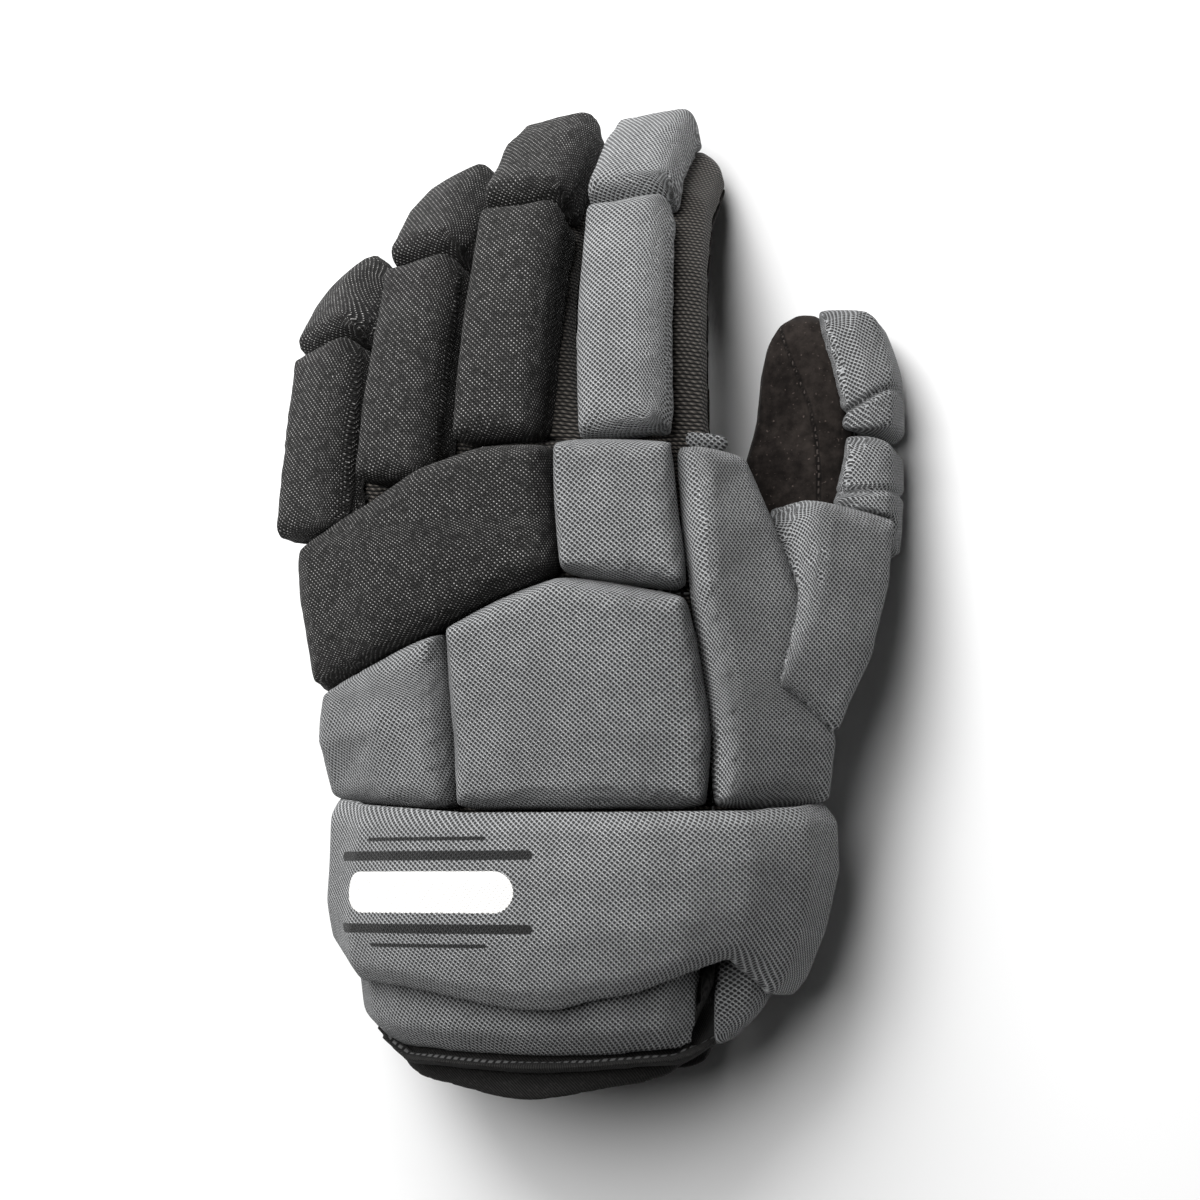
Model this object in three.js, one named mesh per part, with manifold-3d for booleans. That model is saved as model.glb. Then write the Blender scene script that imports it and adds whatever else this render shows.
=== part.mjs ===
// Left-hand lacrosse glove lying palm down: the fingertips and the cuff rest on the ground.
// Millimetres. +X points to the thumb side, +Y to the fingertips and +Z up out of the back of the hand.
import * as THREE from 'three';
import { mergeVertices } from 'three/addons/utils/BufferGeometryUtils.js';
import Module from 'manifold-3d';

const wasm = await Module();
wasm.setup();

// Driving sizes of the hand shell
const HAND_LENGTH = 160; // wrist edge to knuckle line
const HAND_WIDTH = 122; // across the palm
const WRIST_DEPTH = 58; // palm to back at the wrist
const KNUCKLE_DEPTH = 35; // palm to back at the knuckles
const KNUCKLE_HEIGHT = 59; // knuckle centres above the ground
const KNUCKLE_ARC = 30; // how far the little finger's knuckle stands back
const PALM_CUP = 15; // how far the little finger's side of the palm drops
const SHELL_WALL = 1.8; // suede, knit and backing cloth

// Driving sizes of the fingers and thumb
const FINGER_REACH = 103; // knuckle line to the middle fingertip's round end, level
const FINGER_WIDTH = 27;
const FINGER_DEPTH = 25;
const THUMB_REACH = 136; // thumb root to its round end, level
const THUMB_WIDTH = 31;
const THUMB_DEPTH = 37;

// Driving sizes of the padding
const FINGER_PAD_HEIGHT = 15; // foam above the finger's back
const FINGER_PAD_WIDTH = 29;
const HAND_PAD_HEIGHT = 18;
const THUMB_PAD_HEIGHT = 16;
const THUMB_PAD_WIDTH = 34;
const PAD_CROWN = 0.8; // rise of a pad's middle over its rim
const PAD_EDGE = 2.5; // width of a pad's rounded rim
const PAD_CORNER = 3.5; // corner radius of a pad's outline

// Driving sizes of the cuff
const CUFF_DROP = 37; // lining's rim beyond the hand shell's wrist edge
const LINING_WALL = 3.5;
const ROLL_HEIGHT = 13;
const BINDING_HEIGHT = 8;
const BINDING_WIDTH = 4.5;
const BAND_WALL = 11;
const BAND_PALM_LIFT = 2.5; // band over the shell at the palm, where no roll lies between

const GAP = 0.3; // between pieces that touch
const SINK = 1.2; // how far a fingertip flattens on the ground
const WRIST_SINK = 10; // how far the wrist sits below a band that closed under the palm
const SECTION_POWER = 2.5; // 2 is an ellipse, and more is boxier

const HALF_TURN = Math.PI;
const mix = THREE.MathUtils.lerp;
const smooth = THREE.MathUtils.smoothstep;
const at = (around, along) => ({ around, along });

// Solids

function toSolid(geometry) {
  const bare = geometry.clone();
  bare.deleteAttribute('normal');
  bare.deleteAttribute('uv');
  const merged = mergeVertices(bare, 1e-4);
  const mesh = new wasm.Mesh({
    numProp: 3,
    vertProperties: merged.attributes.position.array,
    triVerts: new Uint32Array(merged.index.array),
  });
  return new wasm.Manifold(mesh);
}

function toGeometry(solid) {
  const mesh = solid.getMesh();
  const geometry = new THREE.BufferGeometry();
  geometry.setAttribute('position', new THREE.BufferAttribute(mesh.vertProperties, 3));
  geometry.setIndex(new THREE.BufferAttribute(mesh.triVerts, 1));
  geometry.computeVertexNormals();
  return geometry;
}

// A closed body through rings of equally many points, each end closed by a fan
function loft(rings, firstPole, lastPole) {
  const size = rings[0].length;
  const middle = (ring) => ring.reduce((sum, p) => sum.add(p), new THREE.Vector3()).divideScalar(size);
  const points = [...rings.flat(), firstPole ?? middle(rings[0]), lastPole ?? middle(rings.at(-1))];
  const first = points.length - 2;
  const last = points.length - 1;
  const faces = [];
  for (let i = 0; i < size; i += 1) {
    const j = (i + 1) % size;
    faces.push(first, j, i);
    for (let r = 0; r + 1 < rings.length; r += 1) {
      const here = r * size;
      const next = here + size;
      faces.push(here + i, here + j, next + j, here + i, next + j, next + i);
    }
    const end = (rings.length - 1) * size;
    faces.push(last, end + i, end + j);
  }
  const geometry = new THREE.BufferGeometry().setFromPoints(points);
  geometry.setIndex(faces);
  return facingOut(geometry);
}

// The same solid whichever way its rings ran
function facingOut(geometry) {
  const { array: p } = geometry.attributes.position;
  const f = geometry.index.array;
  let volume = 0;
  const a = new THREE.Vector3();
  const b = new THREE.Vector3();
  const c = new THREE.Vector3();
  for (let i = 0; i < f.length; i += 3) {
    a.fromArray(p, f[i] * 3);
    b.fromArray(p, f[i + 1] * 3);
    c.fromArray(p, f[i + 2] * 3);
    volume += a.dot(b.cross(c));
  }
  if (volume < 0) {
    for (let i = 0; i < f.length; i += 3) [f[i + 1], f[i + 2]] = [f[i + 2], f[i + 1]];
  }
  return toSolid(geometry);
}

// The body that stays when a cut leaves offcuts
function largest(solid) {
  return solid.decompose().reduce((best, one) => (one.volume() > best.volume() ? one : best));
}

// Sections

// A point of a rounded section, moved out along the section's own normal. Angle 0 is the back of the hand.
function sectionPoint(angle, halfWidth, halfDepth, offset) {
  const sine = Math.sin(angle);
  const cosine = Math.cos(angle);
  const x = Math.sign(sine) * Math.abs(sine) ** (2 / SECTION_POWER);
  const z = Math.sign(cosine) * Math.abs(cosine) ** (2 / SECTION_POWER);
  const normalX = (Math.sign(x) * Math.abs(x) ** (SECTION_POWER - 1)) / halfWidth;
  const normalZ = (Math.sign(z) * Math.abs(z) ** (SECTION_POWER - 1)) / halfDepth;
  const scale = offset / Math.hypot(normalX, normalZ);
  return new THREE.Vector2(x * halfWidth + normalX * scale, z * halfDepth + normalZ * scale);
}

const ARC_STEPS = 60;

// The section angle at a share, -1 to 1, of the way round from the back to the middle of the palm
function angleAt(share, halfWidth, halfDepth) {
  const lengths = [0];
  let previous = sectionPoint(0, halfWidth, halfDepth, 0);
  for (let i = 1; i <= ARC_STEPS; i += 1) {
    const here = sectionPoint((HALF_TURN * i) / ARC_STEPS, halfWidth, halfDepth, 0);
    lengths.push(lengths[i - 1] + here.distanceTo(previous));
    previous = here;
  }
  const wanted = Math.min(Math.abs(share), 1) * lengths[ARC_STEPS];
  const i = Math.max(1, lengths.findIndex((length) => length >= wanted));
  const part = (wanted - lengths[i - 1]) / (lengths[i] - lengths[i - 1]);
  return Math.sign(share) * (HALF_TURN / ARC_STEPS) * (i - 1 + part);
}

// The hand shell

// Shares: along of HAND_LENGTH, shift and width of HAND_WIDTH, taper from wrist to knuckle depth,
// rise to the knuckles
const HAND_SECTIONS = [
  { along: 0, shift: -0.015, width: 0.95, taper: 0, rise: 0 },
  { along: 0.25, shift: 0.04, width: 1.01, taper: 0.08, rise: 0.12 },
  { along: 0.5, shift: 0.02, width: 1.13, taper: 0.3, rise: 0.45 },
  { along: 0.78, shift: -0.045, width: 1.09, taper: 0.68, rise: 0.85 },
  { along: 1, shift: -0.14, width: 1.05, taper: 1, rise: 1 },
];
const CUP_START = 0.07; // shares of HAND_WIDTH between which the palm cups
const CUP_END = 0.75;
const CUP_AT_WRIST = 0.15; // share of PALM_CUP left at the wrist
const WRIST_HEIGHT = WRIST_DEPTH / 2 + BAND_PALM_LIFT + BAND_WALL - WRIST_SINK;

function handSection(along) {
  const last = HAND_SECTIONS.length - 1;
  const next = HAND_SECTIONS.findIndex((row, i) => i > 0 && (row.along >= along || i === last));
  const [low, high] = [HAND_SECTIONS[next - 1], HAND_SECTIONS[next]];
  const part = THREE.MathUtils.clamp((along - low.along) / (high.along - low.along), 0, 1);
  const blend = (column) => mix(low[column], high[column], part);
  return {
    centre: blend('shift') * HAND_WIDTH,
    halfWidth: (blend('width') * HAND_WIDTH) / 2,
    halfDepth: mix(WRIST_DEPTH, KNUCKLE_DEPTH, blend('taper')) / 2,
    height: mix(WRIST_HEIGHT, KNUCKLE_HEIGHT, blend('rise')),
  };
}

const CUP_FRONT = 0.3; // share of HAND_LENGTH where the cupping starts

// Cups the palm: the little finger's side stands back and drops
function cupped(point, along) {
  const out = smooth(-point.x / HAND_WIDTH, CUP_START, CUP_END);
  const front = smooth(along, CUP_FRONT, 1);
  point.y -= KNUCKLE_ARC * out * front;
  point.z -= PALM_CUP * out * mix(CUP_AT_WRIST, 1, front);
  return point;
}

// Soft parts flatten where they meet the ground
function grounded(point, offset) {
  point.z = Math.max(point.z, -offset);
  return point;
}

function handPoint(share, along, offset) {
  const section = handSection(along);
  const angle = angleAt(share, section.halfWidth, section.halfDepth);
  const flat = sectionPoint(angle, section.halfWidth, section.halfDepth, offset);
  const y = (along - 1) * HAND_LENGTH;
  return cupped(new THREE.Vector3(section.centre + flat.x, y, section.height + flat.y), along);
}

const HAND_SIDES = 22;
const HAND_STEPS = 5;

function handRing(along, offset, shrink = 0, forward = 0) {
  const section = handSection(along);
  return Array.from({ length: HAND_SIDES }, (_, i) => {
    const angle = angleAt((2 * i) / HAND_SIDES - 1, section.halfWidth, section.halfDepth);
    const flat = sectionPoint(angle, section.halfWidth - shrink, section.halfDepth - shrink, offset);
    const y = (along - 1) * HAND_LENGTH + forward;
    return cupped(new THREE.Vector3(section.centre + flat.x, y, section.height + flat.y), along);
  });
}

const FRONT_ROUND = 0.55; // share of KNUCKLE_DEPTH that the front end rounds over

function handSolid(offset, wristExtra) {
  const rings = [];
  if (wristExtra) rings.push(handRing(0, offset, 0, -wristExtra));
  for (let i = 0; i <= HAND_STEPS; i += 1) rings.push(handRing(i / HAND_STEPS, offset));
  const round = FRONT_ROUND * KNUCKLE_DEPTH / 2;
  [35, 70].forEach((degrees) => {
    const turn = THREE.MathUtils.degToRad(degrees);
    const inward = round * (1 - Math.cos(turn));
    rings.push(handRing(1, offset * Math.cos(turn), inward, (round + offset) * Math.sin(turn)));
  });
  return loft(rings);
}

// Fingers and thumb: sleeves along a curved spine with a round end

const SLEEVE_SIDES = 10;
const SLEEVE_STEPS = 5;
const TAPER_START = 0.4; // share of a sleeve's length where its girth starts to shrink
const TIP_TURNS = [38, 70]; // degrees round the end at which its rings stand

class Sleeve {
  constructor({ points, width, depth, back, tipGirth }) {
    this.spine = new THREE.CatmullRomCurve3(points, false, 'centripetal');
    this.length = this.spine.getLength();
    this.halfWidth = width / 2;
    this.halfDepth = depth / 2;
    this.back = back; // the way that the finger's back faces
    this.tipGirth = tipGirth;
  }

  girth(share) {
    return mix(1, this.tipGirth, smooth(share, TAPER_START, 1));
  }

  frame(distance, turn = 0) {
    const share = THREE.MathUtils.clamp(distance / this.length, 0, 1);
    const forward = this.spine.getTangentAt(share);
    const centre = this.spine.getPointAt(share).addScaledVector(forward, distance - share * this.length);
    const out = this.back.clone().addScaledVector(forward, -this.back.dot(forward)).normalize();
    out.applyAxisAngle(forward, THREE.MathUtils.degToRad(turn));
    return { centre, forward, out, side: forward.clone().cross(out), girth: this.girth(share) };
  }

  // side and out are millimetres from the spine
  point(distance, side, out, turn = 0) {
    const frame = this.frame(distance, turn);
    return frame.centre.addScaledVector(frame.side, side).addScaledVector(frame.out, out);
  }

  ring(distance, offset, scale = 1) {
    const { girth } = this.frame(distance);
    return Array.from({ length: SLEEVE_SIDES }, (_, i) => {
      const angle = (2 * HALF_TURN * i) / SLEEVE_SIDES;
      const width = (this.halfWidth * girth + offset) * scale;
      const depth = (this.halfDepth * girth + offset) * scale;
      const flat = sectionPoint(angle, width, depth, 0);
      return grounded(this.point(distance, flat.x, flat.y), offset);
    });
  }

  solid(offset, from = 0) {
    const rings = [];
    for (let i = 0; i <= SLEEVE_STEPS; i += 1) {
      rings.push(this.ring(mix(from, this.length, i / SLEEVE_STEPS), offset));
    }
    const round = this.halfDepth * this.girth(1) + offset;
    TIP_TURNS.forEach((degrees) => {
      const turn = THREE.MathUtils.degToRad(degrees);
      rings.push(this.ring(this.length + round * Math.sin(turn), offset, Math.cos(turn)));
    });
    return loft(rings);
  }

  // All that lies on the palm's side of a level, a share of the half depth
  palmSide(level, offset) {
    const rings = [];
    const reach = this.length + this.halfDepth * 2;
    const side = this.halfWidth * 2;
    const deep = -this.halfDepth * 3;
    for (let i = 0; i <= SLEEVE_STEPS + 2; i += 1) {
      const distance = mix(-this.halfDepth, reach, i / (SLEEVE_STEPS + 2));
      const top = level * this.halfDepth + offset;
      const corners = [[-side, deep], [side, deep], [side, top], [-side, top]];
      rings.push(corners.map(([x, z]) => this.point(distance, x, z)));
    }
    return loft(rings);
  }
}

// Shares: across and drift of HAND_WIDTH, reach of FINGER_REACH, girth of the finger sizes, room of the
// sleeve's width over its padding's girth, slide of the padding of FINGER_PAD_WIDTH; roll in degrees
const FINGERS = [
  { name: 'index', across: 0.322, reach: 1, girth: 1, room: 1.15, roll: 0, drift: -0.06, slide: -0.2 },
  { name: 'middle', across: -0.06, reach: 1.01, girth: 1, room: 1, roll: -6, drift: 0.01, slide: 0 },
  { name: 'ring', across: -0.33, reach: 0.96, girth: 0.98, room: 1, roll: -18, drift: 0.03, slide: 0 },
  { name: 'pinky', across: -0.555, reach: 0.84, girth: 0.96, room: 1, roll: -26, drift: -0.015,
    slide: -0.06 },
];

// Shares: along of the reach, drop from the knuckle to the ground
const CURL = [
  { along: -0.2, drop: 0 },
  { along: 0.1, drop: 0 },
  { along: 0.46, drop: 0.17 },
  { along: 0.79, drop: 0.48 },
  { along: 1, drop: 1 },
];
const TIP_GIRTH = { finger: 0.92, thumb: 0.62 }; // share of the girth left at the tip
const FRONT_LEVEL = { finger: -0.3, thumb: 0.75 }; // seam of suede and knit, of the half depth up

function fingerSleeve({ across, reach, girth, room, roll, drift }) {
  const root = cupped(new THREE.Vector3(across * HAND_WIDTH, 0, KNUCKLE_HEIGHT), 1);
  const tipHeight = (FINGER_DEPTH / 2) * girth * TIP_GIRTH.finger - SINK;
  const points = CURL.map((row) => new THREE.Vector3(
    root.x + drift * HAND_WIDTH * row.along,
    root.y + reach * FINGER_REACH * row.along,
    mix(root.z, tipHeight, row.drop),
  ));
  const turn = THREE.MathUtils.degToRad(roll);
  return new Sleeve({
    points,
    width: FINGER_WIDTH * girth * room,
    depth: FINGER_DEPTH * girth,
    back: new THREE.Vector3(Math.sin(turn), 0, Math.cos(turn)),
    tipGirth: TIP_GIRTH.finger,
  });
}

// Shares: across of HAND_WIDTH, along of THUMB_REACH, height of the way from the ground contact
// to KNUCKLE_HEIGHT
const THUMB_SPINE = [
  { across: 0.32, along: 0, height: 0.6 },
  { across: 0.49, along: 0.15, height: 0.4 },
  { across: 0.565, along: 0.4, height: 0.17 },
  { across: 0.585, along: 0.74, height: 0.04 },
  { across: 0.595, along: 1, height: 0 },
];
const THUMB_ROOT = 0.58; // share of HAND_LENGTH from the knuckle line back to the thumb's root
const THUMB_LIFT = 1; // thumb padding clear of the ground, millimetres
const THUMB_ROLL = 92; // degrees that the thumb's back turns from up to the side

function thumbSleeve() {
  const rest = THUMB_PAD_WIDTH / 2 + THUMB_LIFT;
  const turn = THREE.MathUtils.degToRad(THUMB_ROLL);
  return new Sleeve({
    points: THUMB_SPINE.map((row) => new THREE.Vector3(
      row.across * HAND_WIDTH,
      row.along * THUMB_REACH - THUMB_ROOT * HAND_LENGTH,
      mix(rest, KNUCKLE_HEIGHT, row.height),
    )),
    width: THUMB_WIDTH,
    depth: THUMB_DEPTH,
    back: new THREE.Vector3(Math.sin(turn), 0, Math.cos(turn)),
    tipGirth: TIP_GIRTH.thumb,
  });
}

// Pads: a patch over a grid of control points, with a rounded rim and a slightly crowned top

// Rim rows: inset as a share of PAD_EDGE, up as a share of the pad's height
const RIM = [
  { inset: 0, up: 0.35 },
  { inset: 0.35, up: 0.78 },
  { inset: 1, up: 0.98 },
];
const CORNER_CUT = 0.3; // how far a patch's corner draws in, as a share of PAD_CORNER
const PATCH_STRIDE = 20; // longest stretch of a patch between two stations
const PAD_FOOT = 0.55; // how far a finger's padding reaches down its sides, as a share of the half depth
const CROWN_SCALE = 16; // brings s(1 - s)t(1 - t) to 1 in the middle of a pad
const SLOPE_START = 0.3; // share of a block's length where its top starts to fall

// A point of the grid, s across its ribs and t along them, in cells
function gridPoint(ribs, s, t) {
  const i = THREE.MathUtils.clamp(Math.floor(s), 0, ribs.length - 2);
  const j = THREE.MathUtils.clamp(Math.floor(t), 0, ribs[0].length - 2);
  const low = ribs[i][j].clone().lerp(ribs[i + 1][j], s - i);
  const high = ribs[i][j + 1].clone().lerp(ribs[i + 1][j + 1], s - i);
  return low.lerp(high, t - j);
}

// Stations over a row of cells: the rim's rows at both ends and evenly spaced ones between
function stations(lengths, grow) {
  const rim = RIM.map(({ inset, up }, k) => ({ cell: 0, inset: inset * PAD_EDGE - grow, up, edge: k === 0 }));
  const inner = lengths.flatMap((length, cell) => {
    const count = Math.max(1, Math.round(length / PATCH_STRIDE));
    return Array.from({ length: count }, (_, k) => ({ cell: cell + k / count, inset: 0, up: 1 }));
  }).slice(1);
  if (inner.length === 0) inner.push({ cell: lengths.length / 2, inset: 0, up: 1 });
  const far = [...rim].reverse().map((row) => ({ ...row, cell: lengths.length, inset: -row.inset }));
  return [...rim, ...inner, ...far];
}

// map(x, y, up) gives the point over the grid's own plane; base is how far down the block starts
function patchSolid(ribs, { height, base, map }, grow) {
  const spans = ribs.length - 1;
  const lengths = ribs[0].length - 1;
  const across = Array.from({ length: spans }, (_, i) => ribs[i][0].distanceTo(ribs[i + 1][0]));
  const along = Array.from({ length: lengths }, (_, j) => ribs[0][j].distanceTo(ribs[0][j + 1]));
  const rows = stations(along, grow);
  const place = (column, row) => {
    const cut = column.edge && row.edge ? CORNER_CUT * PAD_CORNER : 0;
    const width = gridPoint(ribs, 0, row.cell).distanceTo(gridPoint(ribs, spans, row.cell)) / spans;
    const start = gridPoint(ribs, column.cell, 0);
    const length = start.distanceTo(gridPoint(ribs, column.cell, lengths)) / lengths;
    const s = column.cell + (column.inset + Math.sign(spans / 2 - column.cell) * cut) / width;
    const t = row.cell + (row.inset + Math.sign(lengths / 2 - row.cell) * cut) / length;
    return { spot: gridPoint(ribs, s, t), s: s / spans, t: t / lengths };
  };
  const rings = stations(across, grow).map((column) => {
    const top = rows.map((row) => {
      const { spot, s, t } = place(column, row);
      const crown = CROWN_SCALE * PAD_CROWN * Math.max(0, s * (1 - s) * t * (1 - t));
      return map(spot.x, spot.y, (height + grow) * Math.min(column.up, row.up) + crown);
    });
    const foot = (row) => {
      const { spot } = place(column, row);
      return map(spot.x, spot.y, base - grow);
    };
    return [foot(rows[0]), ...top, foot(rows.at(-1))];
  });
  return loft(rings);
}

// A block on a finger, from and to along the sleeve, all in millimetres; slope is the height left
// at its far end
function sleevePad(sleeve, pad, grow = 0) {
  const { width, tipWidth, from, to, height, foot = PAD_FOOT, slope = 1, slide = 0, turn = 0 } = pad;
  const rib = (side) => [
    new THREE.Vector2(slide + (side * width) / 2, from),
    new THREE.Vector2(slide + (side * tipWidth) / 2, to),
  ];
  const floor = sleeve.halfDepth;
  const map = (x, y, up) => {
    const far = smooth(y, mix(from, to, SLOPE_START), to);
    return sleeve.point(y, x, floor + up * (up > 0 ? mix(1, slope, far) : 1), turn);
  };
  return patchSolid([rib(-1), rib(1)], { height, base: -floor * foot, map }, grow);
}

const HALF_GIRTH = 0.825; // half way round the hand shell, as a share of its width plus its wrist depth

// A pad on the hand shell, its ribs given as shares
function handPad({ ribs, height = 1 }, grow = 0) {
  const around = HALF_GIRTH * (HAND_WIDTH + WRIST_DEPTH);
  const flat = ribs.map((rib) => rib.map((p) => new THREE.Vector2(p.around * around, p.along * HAND_LENGTH)));
  const map = (x, y, up) => handPoint(x / around, y / HAND_LENGTH, up);
  return patchSolid(flat, { height: HAND_PAD_HEIGHT * height, base: -UNDERCUT, map }, grow);
}

// Each rib runs towards the fingers. around is the share of the way round from the back to the palm, and
// along the share of HAND_LENGTH from the wrist edge.
const HAND_PADS = [
  {
    name: 'center_hand_pad',
    ribs: [
      [at(-0.168, 0.33), at(-0.134, 0.692)],
      [at(0.08, 0.33), at(0.12, 0.773)],
      [at(0.319, 0.33), at(0.353, 0.733)],
    ],
  },
  {
    name: 'outer_hand_pad',
    ribs: [
      [at(-0.56, 0.362), at(-0.53, 0.642)],
      [at(-0.176, 0.33), at(-0.142, 0.688)],
    ],
  },
  {
    name: 'knuckle_pad',
    ribs: [
      [at(-0.56, 0.655), at(-0.55, 1.06)],
      [at(-0.134, 0.7), at(-0.1, 1.035)],
      [at(0.119, 0.781), at(0.193, 1.03)],
    ],
  },
  {
    name: 'index_knuckle_pad',
    ribs: [
      [at(0.127, 0.781), at(0.201, 1.035)],
      [at(0.357, 0.742), at(0.427, 1.035)],
    ],
  },
  {
    name: 'inner_hand_pad',
    height: 1.1,
    ribs: [
      [at(0.327, 0.33), at(0.364, 0.74), at(0.435, 1.03)],
      [at(0.66, 0.33), at(0.63, 0.7), at(0.56, 1.02)],
    ],
  },
];

// Shares of the finger's length past its knuckle, and of FINGER_PAD_WIDTH
const FINGER_PADS = [
  { name: 'mid_pad', from: 0.05, to: 0.665, width: 1, tipWidth: 0.96, slope: 1 },
  { name: 'tip_pad', from: 0.685, to: 1.07, width: 1, tipWidth: 0.97, slope: 0.85 },
];

const PAD_START = 0.15; // share of a finger's length left bare before its first pad

// Shares of the thumb's length and of THUMB_PAD_WIDTH; foot as PAD_FOOT; turn in degrees from its back
// towards the hand's
const THUMB_PADS = [
  { name: 'thumb_base_pad', from: 0.2, to: 0.62, width: 0.95, tipWidth: 1.05, foot: 0.5, slope: 1,
    turn: -38 },
  { name: 'thumb_mid_pad', from: 0.55, to: 0.79, width: 0.84, tipWidth: 0.82, foot: 0.2, slope: 1, turn: 0 },
  { name: 'thumb_tip_pad', from: 0.8, to: 1.07, width: 0.82, tipWidth: 0.7, foot: 0.5, slope: 0.55, turn: 0 },
];

// Cuff: cushioned sheets round the wrist

const RIM_ROUND = 0.3; // share of the wall left at a sheet's edge
const SIDE_POWER = 0.4; // less is a fuller section
const END_STEPS = 1.5; // steps over which an end thins out
const UNDERCUT = 1.5; // how far a cushion starts inside the shell before it is cut clear of it

// A sheet over the hand shell between two edges. Its inner side and edges are functions of the share round.
function wrap({ from, to, low, high, inner, wall, steps, rows }, grow = 0) {
  const grid = [];
  for (let i = 0; i <= steps; i += 1) {
    const share = mix(from, to, i / steps);
    const bottom = low(share) - grow / HAND_LENGTH;
    const top = high(share) + grow / HAND_LENGTH;
    const endRound = Math.min(1, RIM_ROUND + (1 - RIM_ROUND) * Math.sqrt(Math.min(i, steps - i) / END_STEPS));
    const section = [];
    for (let j = 0; j <= rows; j += 1) {
      const part = (1 - Math.cos((HALF_TURN * j) / rows)) / 2;
      const round = mix(RIM_ROUND, 1, Math.sin(HALF_TURN * part) ** SIDE_POWER) * endRound;
      section.push(grounded(handPoint(share, mix(bottom, top, part), inner(share) + wall * round + grow), 0));
    }
    for (let j = rows; j >= 0; j -= 1) {
      const part = (1 - Math.cos((HALF_TURN * j) / rows)) / 2;
      section.push(handPoint(share, mix(bottom, top, part), inner(share) - grow));
    }
    grid.push(section);
  }
  return loft(grid);
}

const alongAt = (millimetres) => millimetres / HAND_LENGTH; // from the wrist edge, towards the fingers

// around is the share of the way round from the back to the palm; low and high are shares of HAND_LENGTH
const BAND_EDGES = [
  { around: -0.84, low: 0.13, high: 0.35 },
  { around: -0.48, low: 0.1, high: 0.345 },
  { around: -0.34, low: -0.01, high: 0.325 },
  { around: 0.05, low: -0.06, high: 0.322 },
  { around: 0.22, low: -0.025, high: 0.322 },
  { around: 0.37, low: 0.042, high: 0.325 },
  { around: 0.45, low: -0.036, high: 0.335 },
  { around: 0.56, low: -0.035, high: 0.35 },
  { around: 0.86, low: 0.13, high: 0.35 },
];
const ROLL_HIGH = 0.2; // share of HAND_LENGTH that the rolls run in under the band
const BINDING_GAP = 0.6; // binding below the roll's edge, millimetres

function edgeAt(rows, around, column) {
  const beyond = rows.findIndex((row) => row.around > around);
  const next = beyond < 0 ? rows.length - 1 : Math.max(1, beyond);
  const [low, high] = [rows[next - 1], rows[next]];
  return mix(low[column], high[column], smooth(around, low.around, high.around));
}

const BAND_DIP = { from: 0.5, to: 0.72 }; // share of the way round over which the band comes down

// The band's distance from the shell: over the rolls on the back, down to the palm at its ends
function bandInner(around) {
  const onBack = 1 - smooth(Math.abs(around), BAND_DIP.from, BAND_DIP.to);
  return mix(BAND_PALM_LIFT, ROLL_HEIGHT + 2 * GAP, onBack);
}

// The rolls' lower edge: drawn in towards both sides
const CUFF_EDGES = [
  { around: -0.6, low: -0.05 },
  { around: -0.46, low: -0.12 },
  { around: -0.27, low: -0.143 },
  { around: 0.02, low: -0.153 },
  { around: 0.38, low: -0.135 },
  { around: 0.6, low: -0.03 },
];
const cuffLow = (around) => edgeAt(CUFF_EDGES, around, 'low');

const wraps = {
  cuff_roll: {
    from: -0.58, to: 0.345, steps: 13, rows: 4, wall: ROLL_HEIGHT + UNDERCUT, inner: () => -UNDERCUT,
    low: cuffLow,
    high: () => ROLL_HIGH,
  },
  cuff_side_roll: {
    from: 0.385, to: 0.58, steps: 5, rows: 4, wall: ROLL_HEIGHT + UNDERCUT, inner: () => -UNDERCUT,
    low: cuffLow,
    high: () => ROLL_HIGH,
  },
  wrist_band: {
    from: -0.84, to: 0.86, steps: 24, rows: 5, wall: BAND_WALL, inner: bandInner,
    low: (around) => edgeAt(BAND_EDGES, around, 'low'),
    high: (around) => edgeAt(BAND_EDGES, around, 'high'),
  },
};

// The bound edge below the rolls, turning up between them
function cuffBinding(grow = 0) {
  const wall = BINDING_HEIGHT + UNDERCUT;
  const inner = () => -UNDERCUT;
  const edge = {
    from: -0.58, to: 0.52, steps: 15, rows: 2, wall, inner,
    low: (around) => cuffLow(around) - alongAt(BINDING_GAP + BINDING_WIDTH),
    high: (around) => cuffLow(around) - alongAt(BINDING_GAP),
  };
  const upright = {
    from: 0.351, to: 0.379, steps: 3, rows: 4, wall, inner,
    low: (around) => cuffLow(around) - alongAt(BINDING_GAP + BINDING_WIDTH / 2),
    high: () => ROLL_HIGH,
  };
  return wrap(edge, grow).add(wrap(upright, grow));
}

const LINING_EASE = 0.12; // share of CUFF_DROP that the rim draws in, at the sides and again at the palm

// How far the lining's rim stands out: most on the back, less at the sides
function liningDrop(i) {
  const around = Math.abs((2 * i) / HAND_SIDES - 1);
  return CUFF_DROP * (1 - LINING_EASE * Math.sin(HALF_TURN * around) ** 2 - LINING_EASE * around);
}

function cuffLining() {
  const tube = (offset, ends) => loft(ends.map((end) => (
    handRing(0, offset).map((p, i) => p.setY(p.y + end(i)))
  )));
  const outer = tube(0, [(i) => -liningDrop(i), (i) => -liningDrop(i) / 2, () => -GAP]);
  const inner = tube(-LINING_WALL, [(i) => -liningDrop(i) - LINING_WALL, () => LINING_WALL]);
  return outer.subtract(inner);
}

// Assembly

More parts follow.
